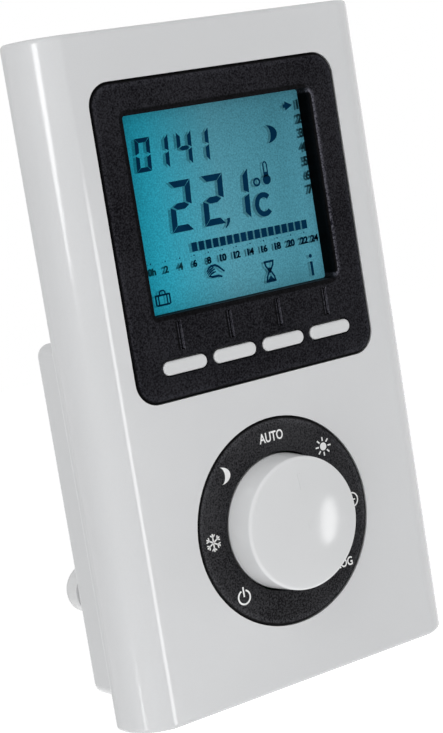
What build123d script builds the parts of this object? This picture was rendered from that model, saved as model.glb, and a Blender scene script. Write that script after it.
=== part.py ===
import os
from math import asin, cos, radians, sin, tan

from build123d import *

os.makedirs("parts", exist_ok=True)

# Sizes are in millimetres. X is right, Y runs back into the wall and Z is up.
# The wall face is y = 0, and z = 0 is the line through the two wall screws.
# Depths are counted from the flat front of the casing towards the wall.

# Casing
unit_w = 80.6
unit_h = 135.4
unit_d = 23.2
cover_d = 9.4
flange_d = 11.9
wall = 2.0
bend_w = 7.0
bend_lean = 17.0
crease_r = 3.0
end_r = 0.9
seam_gap = 0.15
plate_t = 4.0

# Display frame, opening and keys, measured from the middle of the frame
bezel_to_top = 41.15
bezel_w = 58.9
bezel_h = 62.4
bezel_r = 4.7
bezel_proud = 0.2
flange_over = 1.3
flange_t = 1.2
window_w = 45.2
window_h = 39.1
window_up = 4.9
key_pitch = 12.1
key_shift = 0.45
key_drop = 24.85
key_w = 10.3
key_h = 2.75
key_proud = 0.6
key_gap = 0.3
key_travel = 0.5
groove_w = 1.2
groove_h = 5.7
groove_deep = 0.6

# Display stack
lcd_d = 3.8
pane_t = 1.0
ledge_h = 2.0
guide_t = 1.4
guide_w = 46.0
guide_h = 41.0
led_w = 1.4
led_h = 3.0
led_gap = 0.2
led_room = 2.2
strip_w = 2.2
strip_gap = 0.4
strip_edge = 0.2
carrier_t = 1.4
carrier_gap = 0.15
leg_w = 3.0
leg_pitch = 30.0
barb_l = 0.8

# Circuit board
board_t = 1.6
board_side = 2.3
board_gap = 1.5
boss_r = 2.75
boss_gap = 0.35
screw_r = 1.1
head_r = 2.1
cross_l = 2.4
cross_w = 0.6
cross_deep = 0.8
head_t = 0.9
switch_h = 3.5
switch_w = 4.5
plunger_r = 1.7

# Selector
dial_share = 0.6218
ring_r = 21.2
ring_over = 1.8
ring_in_r = 14.2
knob_gap = 0.3
knob_side = 6.6
knob_taper = 0.5
dome_rise = 1.3
knob_skirt = 2.4
pointer_h = 0.08
pointer_w = 0.7
rotor_shaft_r = 3.0
shaft_flat = 1.6
run_gap = 0.05
selector_w = 20.0
selector_t = 4.2

# Rear block, battery bay and wall hooks
block_w = 75.2
block_h = 72.2
block_foot = 4.85
block_r = 2.6
cell_r = 5.25
cell_l = 44.5
cell_gap = 0.35
spring_l = 4.5
bay_wall = 1.2
door_t = 2.2
plate_w = 66.8
plate_r = 3.0
rib_t = 1.6
rib_x = 14.0
lug_x = 32.3
lug_up = 20.7
lug_r = 5.0
wall_hole_r = 2.15
hook_w = 3.6
hook_lip = 4.0
hook_t = 2.0
hook_gap = 0.3

# Case screws, tabs and air slots
case_x = 18.0
case_boss_r = 2.6
case_seat = 8.0
case_head_r = 2.3
case_head_t = 1.7
tab_x = 18.0
tab_w = 8.0
tab_t = 0.6
vent_l = 9.0
vent_w = 1.6
vent_pitch = 12.0
vent_d = 5.4

# Parts on the back of the board
chip_up = 20.0
chip_x = -14.0
chip_w = 10.0
chip_t = 1.4
pin_pitch = 1.25
crystal_l = 11.0
crystal_w = 4.6
crystal_t = 3.4
cap_x = 7.0
cap_drop = 8.0
cap_r = 3.15
cap_l = 8.0
radio_x = 20.0
radio_up = 3.0
radio_w = 18.0
radio_h = 13.0
radio_t = 0.8
shield_w = 12.0
shield_h = 10.5
shield_l = 2.0
shield_t = 0.3
aerial_r = 0.4
aerial_out = 4.0
aerial_gap = 1.2
aerial_tail = 20.0
sensor_x = -18.0
sensor_up = 2.5
bead_r = 1.6

# Derived places
y_front = -(plate_t + unit_d)
block_bot = -lug_up
block_top = block_bot + block_h
block_mid = (block_top + block_bot) / 2
unit_bot = block_bot - block_foot
unit_top = unit_bot + unit_h
unit_mid = (unit_top + unit_bot) / 2
bezel_z = unit_top - bezel_to_top
window_z = bezel_z + window_up
key_z = bezel_z - key_drop
key_xs = [key_shift + key_pitch * k for k in (-1.5, -0.5, 0.5, 1.5)]
rear_pane_d = lcd_d + pane_t
guide_d = rear_pane_d + pane_t
board_d = guide_d + guide_t
board_back = board_d + board_t
lcd_w = guide_w + 2 * led_room
lcd_h = guide_h + 2 * (strip_w + strip_gap + strip_edge)
inner_top = unit_top - wall
inner_bot = unit_bot + wall
lip_t = 1.2
lip_d = cover_d - 1.2
board_w = unit_w - 2 * wall - 2 * board_side
board_top = inner_top - board_gap
board_bot = inner_bot + board_gap
plate_in = flange_d - wall
back_in = unit_d - wall

# The flange of the display frame sets the rows of bosses above and below it.
frame_top = bezel_z + bezel_h / 2 + flange_over
frame_bot = bezel_z - bezel_h / 2 - flange_over
boss_row = frame_top + boss_gap + boss_r
end_x = board_w / 2 - 6.0
mid_x = board_w / 2 - 3.8
boss_places = [
    (-end_x, boss_row),
    (end_x, boss_row),
    (-mid_x, frame_bot - boss_gap - boss_r),
    (mid_x, frame_bot - boss_gap - boss_r),
    (-end_x, board_bot + boss_r),
    (end_x, board_bot + boss_r),
]
case_places = [(-case_x, boss_row), (case_x, boss_row)]

# The dial stands at a set share of the free height between the display frame and the bottom wall.
ring_out = ring_r + ring_over
dial_z = inner_bot + ring_out + dial_share * (frame_bot - inner_bot - 2 * ring_out)


def at_depth(d):
    # A drawing plane seen from the front, at depth d; a negative extrusion goes towards the wall.
    return Plane(origin=(0, y_front + d, 0), x_dir=(1, 0, 0), z_dir=(0, -1, 0))


# Front cover: one moulding with deep rounded sides, an opening for the display frame and one for the dial
with BuildPart() as front_cover:
    with BuildSketch(Plane.XY.offset(unit_bot)) as cover_plan:
        # Each side leaves the flat front at a slight lean and bends round to the seam
        with BuildLine():
            flat_half = unit_w / 2 - bend_w
            Line((-flat_half, y_front), (flat_half, y_front))
            bend_turn = y_front + bend_w * tan(radians(bend_lean))
            Bezier((flat_half, y_front), (unit_w / 2, bend_turn), (unit_w / 2, y_front + cover_d))
            Line((unit_w / 2, y_front + cover_d), (-unit_w / 2, y_front + cover_d))
            Bezier((-unit_w / 2, y_front + cover_d), (-unit_w / 2, bend_turn), (-flat_half, y_front))
        make_face()
    extrude(amount=unit_h)
    fillet(front_cover.edges().filter_by(Axis.Z).group_by(Axis.Y)[0], crease_r)
    end_edges = front_cover.faces().sort_by(Axis.Z)[0].edges() + front_cover.faces().sort_by(Axis.Z)[-1].edges()
    fillet(end_edges.sort_by(Axis.Y)[:-2], end_r)
    with BuildSketch(Plane.XY.offset(inner_bot)) as cover_hollow:
        with Locations((0, y_front + (wall + cover_d) / 2)):
            Rectangle(unit_w - 2 * wall, cover_d - wall)
        fillet(cover_hollow.vertices().group_by(Axis.Y)[0], bend_w - wall)
    extrude(amount=unit_h - 2 * wall, mode=Mode.SUBTRACT)
    # Bosses for the board and for the two case screws
    with BuildSketch(at_depth(wall - 0.1)):
        with Locations(*boss_places):
            Circle(boss_r)
    extrude(amount=-(board_d - wall + 0.1))
    with BuildSketch(at_depth(wall - 0.1)):
        with Locations(*case_places):
            Circle(case_boss_r)
    extrude(amount=-(case_seat - wall + 0.1))
    with BuildSketch(at_depth(wall + 0.6)):
        with Locations(*boss_places):
            Circle(screw_r)
    extrude(amount=-(board_d - wall), mode=Mode.SUBTRACT)
    with BuildSketch(at_depth(wall + 0.9)):
        with Locations(*case_places):
            Circle(screw_r)
    extrude(amount=-(case_seat - wall), mode=Mode.SUBTRACT)
    # Openings for the display frame and the dial ring
    with BuildSketch(at_depth(-1)):
        with Locations((0, bezel_z)):
            RectangleRounded(bezel_w + 2 * seam_gap, bezel_h + 2 * seam_gap, bezel_r + seam_gap)
        with Locations((0, dial_z)):
            Circle(ring_r + seam_gap)
    extrude(amount=-(wall + 1), mode=Mode.SUBTRACT)
    # Air slots in the top and bottom ends
    for end_z in (unit_bot + wall / 2, unit_top - wall / 2):
        with BuildSketch(Plane.XY.offset(end_z)):
            with Locations((0, y_front + vent_d)):
                with GridLocations(vent_pitch, 1, 5, 1):
                    SlotOverall(vent_l, vent_w)
        extrude(amount=wall, both=True, mode=Mode.SUBTRACT)
    # Notches that take the two tabs of the rear shell
    with BuildSketch(at_depth(cover_d - 1.1)):
        with Locations((-tab_x, inner_bot), (tab_x, inner_bot)):
            Rectangle(tab_w + 0.4, 1.4)
    extrude(amount=-(tab_t + 0.2), mode=Mode.SUBTRACT)
front_cover.part.label = "front_cover"
export_step(front_cover.part, "parts/front_cover.step")

# Battery bay sizes, shared by the rear shell, the door, the cells and their contacts
bay_half = (cell_l + spring_l) / 2 + 0.4
bay_floor = board_back + 0.2
bay_bot = block_bot + wall
bay_h = 4 * cell_r + 3 * cell_gap
bay_top = bay_bot + bay_h
cell_zs = [bay_bot + cell_gap + cell_r, bay_bot + 2 * cell_gap + 3 * cell_r]
floor_t = 1.0
door_in = unit_d - door_t
cell_d = (bay_floor + floor_t + door_in) / 2
door_half = bay_half + 1.6
tongue = 1.1
tongue_t = 0.8
door_top = bay_top + 1.5
slide_gap = 0.1
door_gap = 0.2
rail_out = bay_half + 3.7

# Hooks: the set lifts by the height of their lips and a little more
lift = hook_lip + hook_gap
slot_h = hook_t + lift + hook_gap
low_hook_x = rail_out + hook_gap + hook_w / 2
low_hook_z = block_bot + wall + lift + hook_t + hook_gap
top_hook_z = block_top - wall - hook_lip - lift - hook_gap
hook_places = [
    (-22.0, top_hook_z),
    (22.0, top_hook_z),
    (-low_hook_x, low_hook_z),
    (low_hook_x, low_hook_z),
]

# Rear shell: a shallow back with a locating lip, and the block that holds the battery bay
with BuildPart() as rear_shell:
    with BuildSketch(at_depth(cover_d)):
        with Locations((0, unit_mid)):
            Rectangle(unit_w, unit_h)
    extrude(amount=-(flange_d - cover_d))
    fillet(rear_shell.faces().sort_by(Axis.Y)[-1].edges(), 1.5)
    fillet(rear_shell.edges().filter_by(Axis.Y), 1.0)
    with BuildSketch(at_depth(plate_in)):
        with Locations((0, block_mid)):
            RectangleRounded(block_w, block_h, block_r)
    extrude(amount=-(unit_d - plate_in))
    fillet(rear_shell.faces().sort_by(Axis.Y)[-1].edges(), block_r - 0.4)
    with BuildSketch(at_depth(cover_d)):
        with Locations((0, unit_mid)):
            Rectangle(unit_w - 2 * wall, unit_h - 2 * wall)
    extrude(amount=-(plate_in - cover_d), mode=Mode.SUBTRACT)
    with BuildSketch(at_depth(plate_in)):
        with Locations((0, block_mid)):
            RectangleRounded(block_w - 2 * wall, block_h - 2 * wall, block_r - wall)
    extrude(amount=-(back_in - plate_in), mode=Mode.SUBTRACT)
    # Locating lip that plugs into the cover, with two tabs at the bottom
    with BuildSketch(at_depth(lip_d)):
        with Locations((0, unit_mid)):
            Rectangle(unit_w - 2 * wall - 2 * seam_gap, unit_h - 2 * wall - 2 * seam_gap)
            Rectangle(
                unit_w - 2 * wall - 2 * seam_gap - 2 * lip_t,
                unit_h - 2 * wall - 2 * seam_gap - 2 * lip_t,
                mode=Mode.SUBTRACT,
            )
    extrude(amount=-(plate_in - lip_d))
    with BuildSketch(at_depth(cover_d - 1.0)):
        with Locations((-tab_x, inner_bot + seam_gap), (tab_x, inner_bot + seam_gap)):
            Rectangle(tab_w, 1.2)
    extrude(amount=-tab_t)
    # Posts round the case screws, with a seat for each head
    with BuildSketch(at_depth(case_seat)):
        with Locations(*case_places):
            Circle(case_boss_r)
    extrude(amount=-(plate_in - case_seat))
    with BuildSketch(at_depth(case_seat)):
        with Locations(*case_places):
            Circle(screw_r + 0.2)
    extrude(amount=-(unit_d - case_seat), mode=Mode.SUBTRACT)
    with BuildSketch(at_depth(flange_d - 2.2)):
        with Locations(*case_places):
            Circle(case_head_r + 0.3)
    extrude(amount=-3, mode=Mode.SUBTRACT)
    # Battery bay: floor, walls and the ledge that the door slides on
    with BuildSketch(at_depth(bay_floor)):
        with Locations((0, (bay_bot + bay_top + bay_wall) / 2)):
            Rectangle(2 * (bay_half + bay_wall), bay_h + bay_wall)
    extrude(amount=-(back_in - bay_floor))
    with BuildSketch(at_depth(back_in - 2)):
        with Locations((0, (bay_bot + bay_top + 4.2) / 2)):
            Rectangle(2 * rail_out, bay_h + 4.2)
    extrude(amount=-2)
    with BuildSketch(at_depth(bay_floor + floor_t)):
        with Locations((0, (bay_bot + bay_top) / 2)):
            Rectangle(2 * bay_half, bay_h)
    extrude(amount=-(unit_d - bay_floor), mode=Mode.SUBTRACT)
    # Door window and the two side grooves, open at the bottom
    with BuildSketch(at_depth(door_in)):
        with Locations((0, (block_bot - 1 + door_top + door_gap) / 2)):
            Rectangle(2 * (door_half + door_gap), door_top + door_gap - block_bot + 1)
    extrude(amount=-(door_t + 1), mode=Mode.SUBTRACT)
    with BuildSketch(at_depth(door_in)):
        with Locations((0, (block_bot - 1 + door_top + door_gap) / 2)):
            Rectangle(2 * (door_half + tongue + door_gap), door_top + door_gap - block_bot + 1)
    extrude(amount=-(tongue_t + slide_gap), mode=Mode.SUBTRACT)
    # Slots for the four wall hooks
    with BuildSketch(at_depth(back_in - 0.5)):
        with Locations(*[(x, z - slot_h / 2) for x, z in hook_places]):
            Rectangle(hook_w + 0.6, slot_h)
    extrude(amount=-3, mode=Mode.SUBTRACT)
    # Openings in the bay floor for the contact tails
    with BuildSketch(at_depth(bay_floor - 0.5)):
        with Locations(*[(s * (bay_half - 0.25), z) for s in (-1, 1) for z in cell_zs]):
            Rectangle(0.7, 2.4)
    extrude(amount=-2, mode=Mode.SUBTRACT)
rear_shell.part.label = "rear_shell"
export_step(rear_shell.part, "parts/rear_shell.step")

# Battery door: follows the rounded foot of the block and slides down out of it
with BuildPart() as battery_cover:
    with BuildSketch(at_depth(plate_in)):
        with Locations((0, block_mid)):
            RectangleRounded(block_w, block_h, block_r)
    extrude(amount=-(unit_d - plate_in))
    fillet(battery_cover.faces().sort_by(Axis.Y)[-1].edges(), block_r - 0.4)
    with BuildSketch(at_depth(door_in)):
        with Locations((0, (block_bot - 1 + door_top) / 2)):
            Rectangle(2 * (door_half + tongue), door_top - block_bot + 1)
    extrude(amount=-(door_t + 1), mode=Mode.INTERSECT)
    with BuildSketch(at_depth(door_in + tongue_t)):
        with Locations(*[(s * (door_half + 5), block_mid) for s in (-1, 1)]):
            Rectangle(10, 2 * block_h)
    extrude(amount=-(door_t + 1), mode=Mode.SUBTRACT)
    # Finger grooves across the lower end
    with BuildSketch(at_depth(unit_d - 0.5)):
        with Locations(*[(0, block_bot + 5 + 2.2 * k) for k in range(4)]):
            Rectangle(22, 1.0)
    extrude(amount=-2, mode=Mode.SUBTRACT)
battery_cover.part.label = "battery_cover"
export_step(battery_cover.part, "parts/battery_cover.step")

# Wall plate: ribbed back, two screw lugs, and four hooks that the set hangs on
plate_top = block_top - 6.0
plate_bot = block_bot + 4.6
plate_mid = (plate_top + plate_bot) / 2
plate_h = plate_top - plate_bot
with BuildPart() as wall_plate:
    with BuildSketch(at_depth(unit_d)):
        with Locations((0, plate_mid)):
            RectangleRounded(plate_w, plate_h, plate_r)
        with Locations((-lug_x, 0), (lug_x, 0)):
            Circle(lug_r)
    extrude(amount=-plate_t)
    with BuildSketch(at_depth(unit_d + plate_t / 2)):
        with Locations((0, plate_mid)):
            RectangleRounded(plate_w - 2 * wall, plate_h - 2 * wall, plate_r - wall / 2)
            Rectangle(plate_w, rib_t, mode=Mode.SUBTRACT)
        with Locations((-rib_x, plate_mid), (rib_x, plate_mid)):
            Rectangle(rib_t, plate_h, mode=Mode.SUBTRACT)
        with Locations((-lug_x, 0), (lug_x, 0)):
            Circle(lug_r, mode=Mode.SUBTRACT)
    extrude(amount=-plate_t, mode=Mode.SUBTRACT)
    # Hooks: a short arm with a lip that points up behind the back of the set
    with BuildSketch(at_depth(unit_d)):
        with Locations(*[(x, z - hook_t / 2) for x, z in hook_places]):
            Rectangle(hook_w, hook_t)
    extrude(amount=wall + 2)
    with BuildSketch(at_depth(back_in - slide_gap)):
        with Locations(*[(x, z + (hook_lip - hook_t) / 2) for x, z in hook_places]):
            Rectangle(hook_w, hook_t + hook_lip)
    extrude(amount=2 - slide_gap)
    # Countersunk screw holes
    with BuildSketch(at_depth(unit_d)):
        with Locations((-lug_x, 0), (lug_x, 0)):
            Circle(wall_hole_r)
    extrude(amount=-plate_t, mode=Mode.SUBTRACT)
    with BuildSketch(at_depth(unit_d)):
        with Locations((-lug_x, 0), (lug_x, 0)):
            Circle(wall_hole_r + 1.7)
    extrude(amount=-1.7, taper=44.9, mode=Mode.SUBTRACT)
wall_plate.part.label = "wall_plate"
export_step(wall_plate.part, "parts/wall_plate.step")

# Display frame: flush black plate with a deep window wall, key slots and guide grooves
with BuildPart() as display_bezel:
    with BuildSketch(at_depth(-bezel_proud)):
        with Locations((0, bezel_z)):
            RectangleRounded(bezel_w, bezel_h, bezel_r)
    extrude(amount=-(wall + bezel_proud))
    fillet(display_bezel.faces().sort_by(Axis.Y)[0].edges(), 0.8)
    with BuildSketch(at_depth(wall)):
        with Locations((0, bezel_z)):
            RectangleRounded(bezel_w + 2 * flange_over, bezel_h + 2 * flange_over, bezel_r + flange_over)
            RectangleRounded(bezel_w - 4, bezel_h - 4, bezel_r - 2, mode=Mode.SUBTRACT)
    extrude(amount=-flange_t)
    with BuildSketch(at_depth(wall - 0.1)):
        with Locations((0, window_z)):
            RectangleRounded(window_w + 3, window_h + 3, 1.6)
    extrude(amount=-(lcd_d - wall + 0.1))
    with BuildSketch(at_depth(-1)):
        with Locations((0, window_z)):
            RectangleRounded(window_w, window_h, 0.6)
    extrude(amount=-(lcd_d + 2), mode=Mode.SUBTRACT)
    window_edges = display_bezel.faces().sort_by(Axis.Y)[0].inner_wires()[0].edges()
    fillet(window_edges, 0.35)
    with BuildSketch(at_depth(-1)):
        with Locations(*[(x, key_z) for x in key_xs]):
            SlotOverall(key_w + 2 * key_gap, key_h + 2 * key_gap)
    extrude(amount=-(wall + 2), mode=Mode.SUBTRACT)
    with BuildSketch(at_depth(-1)):
        with Locations(*[(x, key_z + key_h / 2 + 1.6 + groove_h / 2) for x in key_xs]):
            SlotOverall(groove_h, groove_w, rotation=90)
    extrude(amount=-(groove_deep + 1 - bezel_proud), mode=Mode.SUBTRACT)
display_bezel.part.label = "display_bezel"
export_step(display_bezel.part, "parts/display_bezel.step")

# Display glass: two panes, the rear one longer so that its edges reach the rubber connectors
with BuildPart() as lcd_glass:
    with BuildSketch(at_depth(lcd_d)):
        with Locations((0, window_z)):
            Rectangle(lcd_w, lcd_h - 2 * ledge_h)
    extrude(amount=-pane_t)
    with BuildSketch(at_depth(rear_pane_d)):
        with Locations((0, window_z)):
            Rectangle(lcd_w, lcd_h)
    extrude(amount=-pane_t)
lcd_glass.part.label = "lcd_glass"
export_step(lcd_glass.part, "parts/lcd_glass.step")

# Light guide behind the glass
with BuildPart() as light_guide:
    with BuildSketch(at_depth(guide_d)):
        with Locations((0, window_z)):
            Rectangle(guide_w, guide_h)
    extrude(amount=-guide_t)
light_guide.part.label = "light_guide"
export_step(light_guide.part, "parts/light_guide.step")

# Two light sources on the board, one at each side of the guide
with BuildPart() as backlight_leds:
    with BuildSketch(at_depth(board_d - 1.0)):
        with Locations(*[(s * (guide_w / 2 + led_gap + led_w / 2), window_z) for s in (-1, 1)]):
            Rectangle(led_w, led_h)
    extrude(amount=-1.0)
backlight_leds.part.label = "backlight_leds"
export_step(backlight_leds.part, "parts/backlight_leds.step")

# Rubber connector strips between the rear pane and the board
with BuildPart() as zebra_strips:
    with BuildSketch(at_depth(guide_d)):
        with Locations(*[(0, window_z + s * (lcd_h / 2 - strip_edge - strip_w / 2)) for s in (-1, 1)]):
            Rectangle(lcd_w - 2, strip_w)
    extrude(amount=-guide_t)
zebra_strips.part.label = "zebra_strips"
export_step(zebra_strips.part, "parts/zebra_strips.step")

# Display carrier: frame on the board, with four barbed legs through it
carrier_w = lcd_w + 2 * carrier_gap
carrier_h = lcd_h + 2 * carrier_gap
leg_x = (carrier_w + carrier_t) / 2
leg_places = [(s * leg_x, window_z + k * leg_pitch / 2) for s in (-1, 1) for k in (-1, 1)]
with BuildPart() as lcd_frame:
    with BuildSketch(at_depth(lcd_d)):
        with Locations((0, window_z)):
            Rectangle(carrier_w + 2 * carrier_t, carrier_h + 2 * carrier_t)
            Rectangle(carrier_w, carrier_h, mode=Mode.SUBTRACT)
    extrude(amount=-(board_d - lcd_d))
    with BuildSketch(at_depth(board_d)):
        with Locations(*leg_places):
            Rectangle(carrier_t - 0.4, leg_w)
    extrude(amount=-(board_t + barb_l))
    with BuildSketch(at_depth(board_back)):
        with Locations(*leg_places):
            Rectangle(carrier_t + 0.6, leg_w)
    extrude(amount=-barb_l)
lcd_frame.part.label = "lcd_frame"
export_step(lcd_frame.part, "parts/lcd_frame.step")

# Main board with its screw holes, leg slots, shaft hole and notches for the case posts
peg_places = [(-8.0, dial_z - 8.0), (8.0, dial_z + 8.0)]
pivot_r = 1.5
with BuildPart() as main_board:
    with BuildSketch(at_depth(board_d)):
        with Locations((0, (board_top + board_bot) / 2)):
            RectangleRounded(board_w, board_top - board_bot, 1.5)
        with Locations(*boss_places):
            Circle(screw_r, mode=Mode.SUBTRACT)
        with Locations(*case_places):
            Circle(case_boss_r + 0.4, mode=Mode.SUBTRACT)
        with Locations(*leg_places):
            Rectangle(carrier_t - 0.2, leg_w + 0.2, mode=Mode.SUBTRACT)
        with Locations((0, dial_z)):
            Circle(pivot_r + run_gap, mode=Mode.SUBTRACT)
        with Locations(*peg_places):
            Circle(1.0, mode=Mode.SUBTRACT)
    extrude(amount=-board_t)
main_board.part.label = "main_board"
export_step(main_board.part, "parts/main_board.step")

# Tact switches under the keys
flange_back = wall + 0.9
with BuildPart() as key_switches:
    with BuildSketch(at_depth(board_d - switch_h)):
        with Locations(*[(x, key_z) for x in key_xs]):
            RectangleRounded(switch_w, switch_w, 0.5)
    extrude(amount=-switch_h)
    with BuildSketch(at_depth(board_d - switch_h)):
        with Locations(*[(x, key_z) for x in key_xs]):
            Circle(plunger_r + run_gap)
    extrude(amount=-2.0, mode=Mode.SUBTRACT)
key_switches.part.label = "key_switches"
export_step(key_switches.part, "parts/key_switches.step")

# Keys: a pill through the frame with a flange behind it
with BuildPart() as button_1:
    with BuildSketch(at_depth(-key_proud)):
        with Locations((key_xs[0], key_z)):
            SlotOverall(key_w, key_h)
    extrude(amount=-(flange_back + key_proud))
    fillet(button_1.faces().sort_by(Axis.Y)[0].edges(), 0.5)
    with BuildSketch(at_depth(wall)):
        with Locations((key_xs[0], key_z)):
            RectangleRounded(key_w + 1.2, key_h + 2.2, 1.0)
    extrude(amount=-(flange_back - wall))
button_1.part.label = "button_1"
export_step(button_1.part, "parts/button_1.step")

with BuildPart() as button_2:
    add(button_1.part.moved(Location((key_pitch, 0, 0))))
button_2.part.label = "button_2"
export_step(button_2.part, "parts/button_2.step")

with BuildPart() as button_3:
    add(button_1.part.moved(Location((2 * key_pitch, 0, 0))))
button_3.part.label = "button_3"
export_step(button_3.part, "parts/button_3.step")

with BuildPart() as button_4:
    add(button_1.part.moved(Location((3 * key_pitch, 0, 0))))
button_4.part.label = "button_4"
export_step(button_4.part, "parts/button_4.step")

# Switch plungers, one under each key
with BuildPart() as key_plunger_1:
    with BuildSketch(at_depth(flange_back)):
        with Locations((key_xs[0], key_z)):
            Circle(plunger_r)
    extrude(amount=-(board_d - switch_h + 2.0 - key_travel - 0.2 - flange_back))
key_plunger_1.part.label = "key_plunger_1"
export_step(key_plunger_1.part, "parts/key_plunger_1.step")

with BuildPart() as key_plunger_2:
    add(key_plunger_1.part.moved(Location((key_pitch, 0, 0))))
key_plunger_2.part.label = "key_plunger_2"
export_step(key_plunger_2.part, "parts/key_plunger_2.step")

with BuildPart() as key_plunger_3:
    add(key_plunger_1.part.moved(Location((2 * key_pitch, 0, 0))))
key_plunger_3.part.label = "key_plunger_3"
export_step(key_plunger_3.part, "parts/key_plunger_3.step")

with BuildPart() as key_plunger_4:
    add(key_plunger_1.part.moved(Location((3 * key_pitch, 0, 0))))
key_plunger_4.part.label = "key_plunger_4"
export_step(key_plunger_4.part, "parts/key_plunger_4.step")

# Dial ring: black insert with a flange behind the cover and three feet on the board
with BuildPart() as dial_ring:
    with BuildSketch(at_depth(0)):
        with Locations((0, dial_z)):
            Circle(ring_r)
    extrude(amount=-wall)
    fillet(dial_ring.faces().sort_by(Axis.Y)[0].edges(), 0.5)
    with BuildSketch(at_depth(wall)):
        with Locations((0, dial_z)):
            Circle(ring_out)
    extrude(amount=-flange_t)
    with BuildSketch(at_depth(wall)):
        with Locations((0, dial_z)):
            with PolarLocations(ring_out - 2.0, 3, 90):
                Circle(1.5)
    extrude(amount=-(board_d - wall))
    with BuildSketch(at_depth(-1)):
        with Locations((0, dial_z)):
            Circle(ring_in_r)
    extrude(amount=-(wall + flange_t + 2), mode=Mode.SUBTRACT)
dial_ring.part.label = "dial_ring"
export_step(dial_ring.part, "parts/dial_ring.step")

# Knob: tapered side, rounded rim and a shallow dome with a raised pointer line
knob_r = ring_in_r - knob_gap
rim_r = knob_r - knob_taper
dome_r = (rim_r**2 + dome_rise**2) / (2 * dome_rise)
dome_y = y_front - knob_side - dome_rise + dome_r
knob_wall = 1.8
hub_r = 5.2
shaft_top = knob_side - 1.9
with BuildPart() as knob:
    with BuildSketch(Plane.YZ) as knob_half:
        with BuildLine():
            Polyline(
                (y_front - knob_side, dial_z + rim_r),
                (y_front + knob_skirt, dial_z + knob_r),
                (y_front + knob_skirt, dial_z),
                (y_front - knob_side - dome_rise, dial_z),
            )
            RadiusArc(
                (y_front - knob_side - dome_rise, dial_z),
                (y_front - knob_side, dial_z + rim_r),
                dome_r,
            )
        make_face()
    revolve(axis=Axis((0, 0, dial_z), (0, 1, 0)))
    rim = knob.edges().filter_by(GeomType.CIRCLE).filter_by(lambda e: abs(e.radius - rim_r) < 0.001)
    fillet(rim, 0.9)
    with BuildSketch(at_depth(knob_skirt)):
        with Locations((0, dial_z)):
            Circle(rim_r - knob_wall)
            Circle(hub_r, mode=Mode.SUBTRACT)
    extrude(amount=knob_skirt + knob_side - knob_wall, mode=Mode.SUBTRACT)
    # Bore for the flatted shaft
    with BuildSketch(at_depth(knob_skirt)):
        with Locations((0, dial_z)):
            Circle(rotor_shaft_r + run_gap)
        with Locations((0, dial_z - rotor_shaft_r)):
            Rectangle(2 * rotor_shaft_r, shaft_flat - 2 * run_gap, mode=Mode.SUBTRACT)
    extrude(amount=knob_skirt + shaft_top + 0.3, mode=Mode.SUBTRACT)
    # Pointer line on the dome, at the top in the rest pose
    low = asin(7.0 / dome_r)
    high = asin(10.2 / dome_r)
    mid = (low + high) / 2
    out_r = dome_r + pointer_h
    with BuildSketch(Plane.YZ):
        with BuildLine():
            ThreePointArc(
                (dome_y - out_r * cos(low), dial_z + out_r * sin(low)),
                (dome_y - out_r * cos(mid), dial_z + out_r * sin(mid)),
                (dome_y - out_r * cos(high), dial_z + out_r * sin(high)),
            )
            Polyline(
                (dome_y - out_r * cos(high), dial_z + out_r * sin(high)),
                (dome_y - (dome_r - 0.5) * cos(high), dial_z + (dome_r - 0.5) * sin(high)),
                (dome_y - (dome_r - 0.5) * cos(low), dial_z + (dome_r - 0.5) * sin(low)),
                (dome_y - out_r * cos(low), dial_z + out_r * sin(low)),
            )
        make_face()
    extrude(amount=pointer_w / 2, both=True)
knob.part.label = "knob"
export_step(knob.part, "parts/knob.step")

# Rotary switch housing on the board
housing_d = board_d - selector_t
cavity_r = selector_w / 2 - 1.0
with BuildPart() as selector_housing:
    with BuildSketch(at_depth(housing_d)):
        with Locations((0, dial_z)):
            RectangleRounded(selector_w, selector_w, 2)
    extrude(amount=-selector_t)
    with BuildSketch(at_depth(housing_d + 1.0)):
        with Locations((0, dial_z)):
            Circle(cavity_r)
    extrude(amount=-selector_t, mode=Mode.SUBTRACT)
    with BuildSketch(at_depth(housing_d)):
        with Locations((0, dial_z)):
            Circle(rotor_shaft_r + run_gap)
    extrude(amount=-2, mode=Mode.SUBTRACT)
    with BuildSketch(at_depth(board_d - 0.4)):
        with Locations(*peg_places):
            Circle(1.0)
    extrude(amount=-(board_t + 0.4))
selector_housing.part.label = "selector_housing"
export_step(selector_housing.part, "parts/selector_housing.step")

# Rotor: flatted shaft, notched disc and a pivot in the board
disc_r = cavity_r - 1.7
disc_d = housing_d + 1.1
with BuildPart() as selector_rotor:
    with BuildSketch(at_depth(disc_d)):
        with Locations((0, dial_z)):
            Circle(disc_r)
            with PolarLocations(disc_r + 0.3, 8, 22.5):
                Circle(0.8, mode=Mode.SUBTRACT)
    extrude(amount=-1.5)
    with BuildSketch(at_depth(disc_d)):
        with Locations((0, dial_z)):
            Circle(rotor_shaft_r)
    extrude(amount=disc_d - knob_skirt)
    with BuildSketch(at_depth(knob_skirt)):
        with Locations((0, dial_z)):
            Circle(rotor_shaft_r)
        with Locations((0, dial_z - rotor_shaft_r)):
            Rectangle(2 * rotor_shaft_r, shaft_flat, mode=Mode.SUBTRACT)
    extrude(amount=knob_skirt + shaft_top)
    with BuildSketch(at_depth(disc_d + 1.5)):
        with Locations((0, dial_z)):
            Circle(pivot_r)
    extrude(amount=-(board_back - disc_d - 1.5))
selector_rotor.part.label = "selector_rotor"
export_step(selector_rotor.part, "parts/selector_rotor.step")

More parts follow.
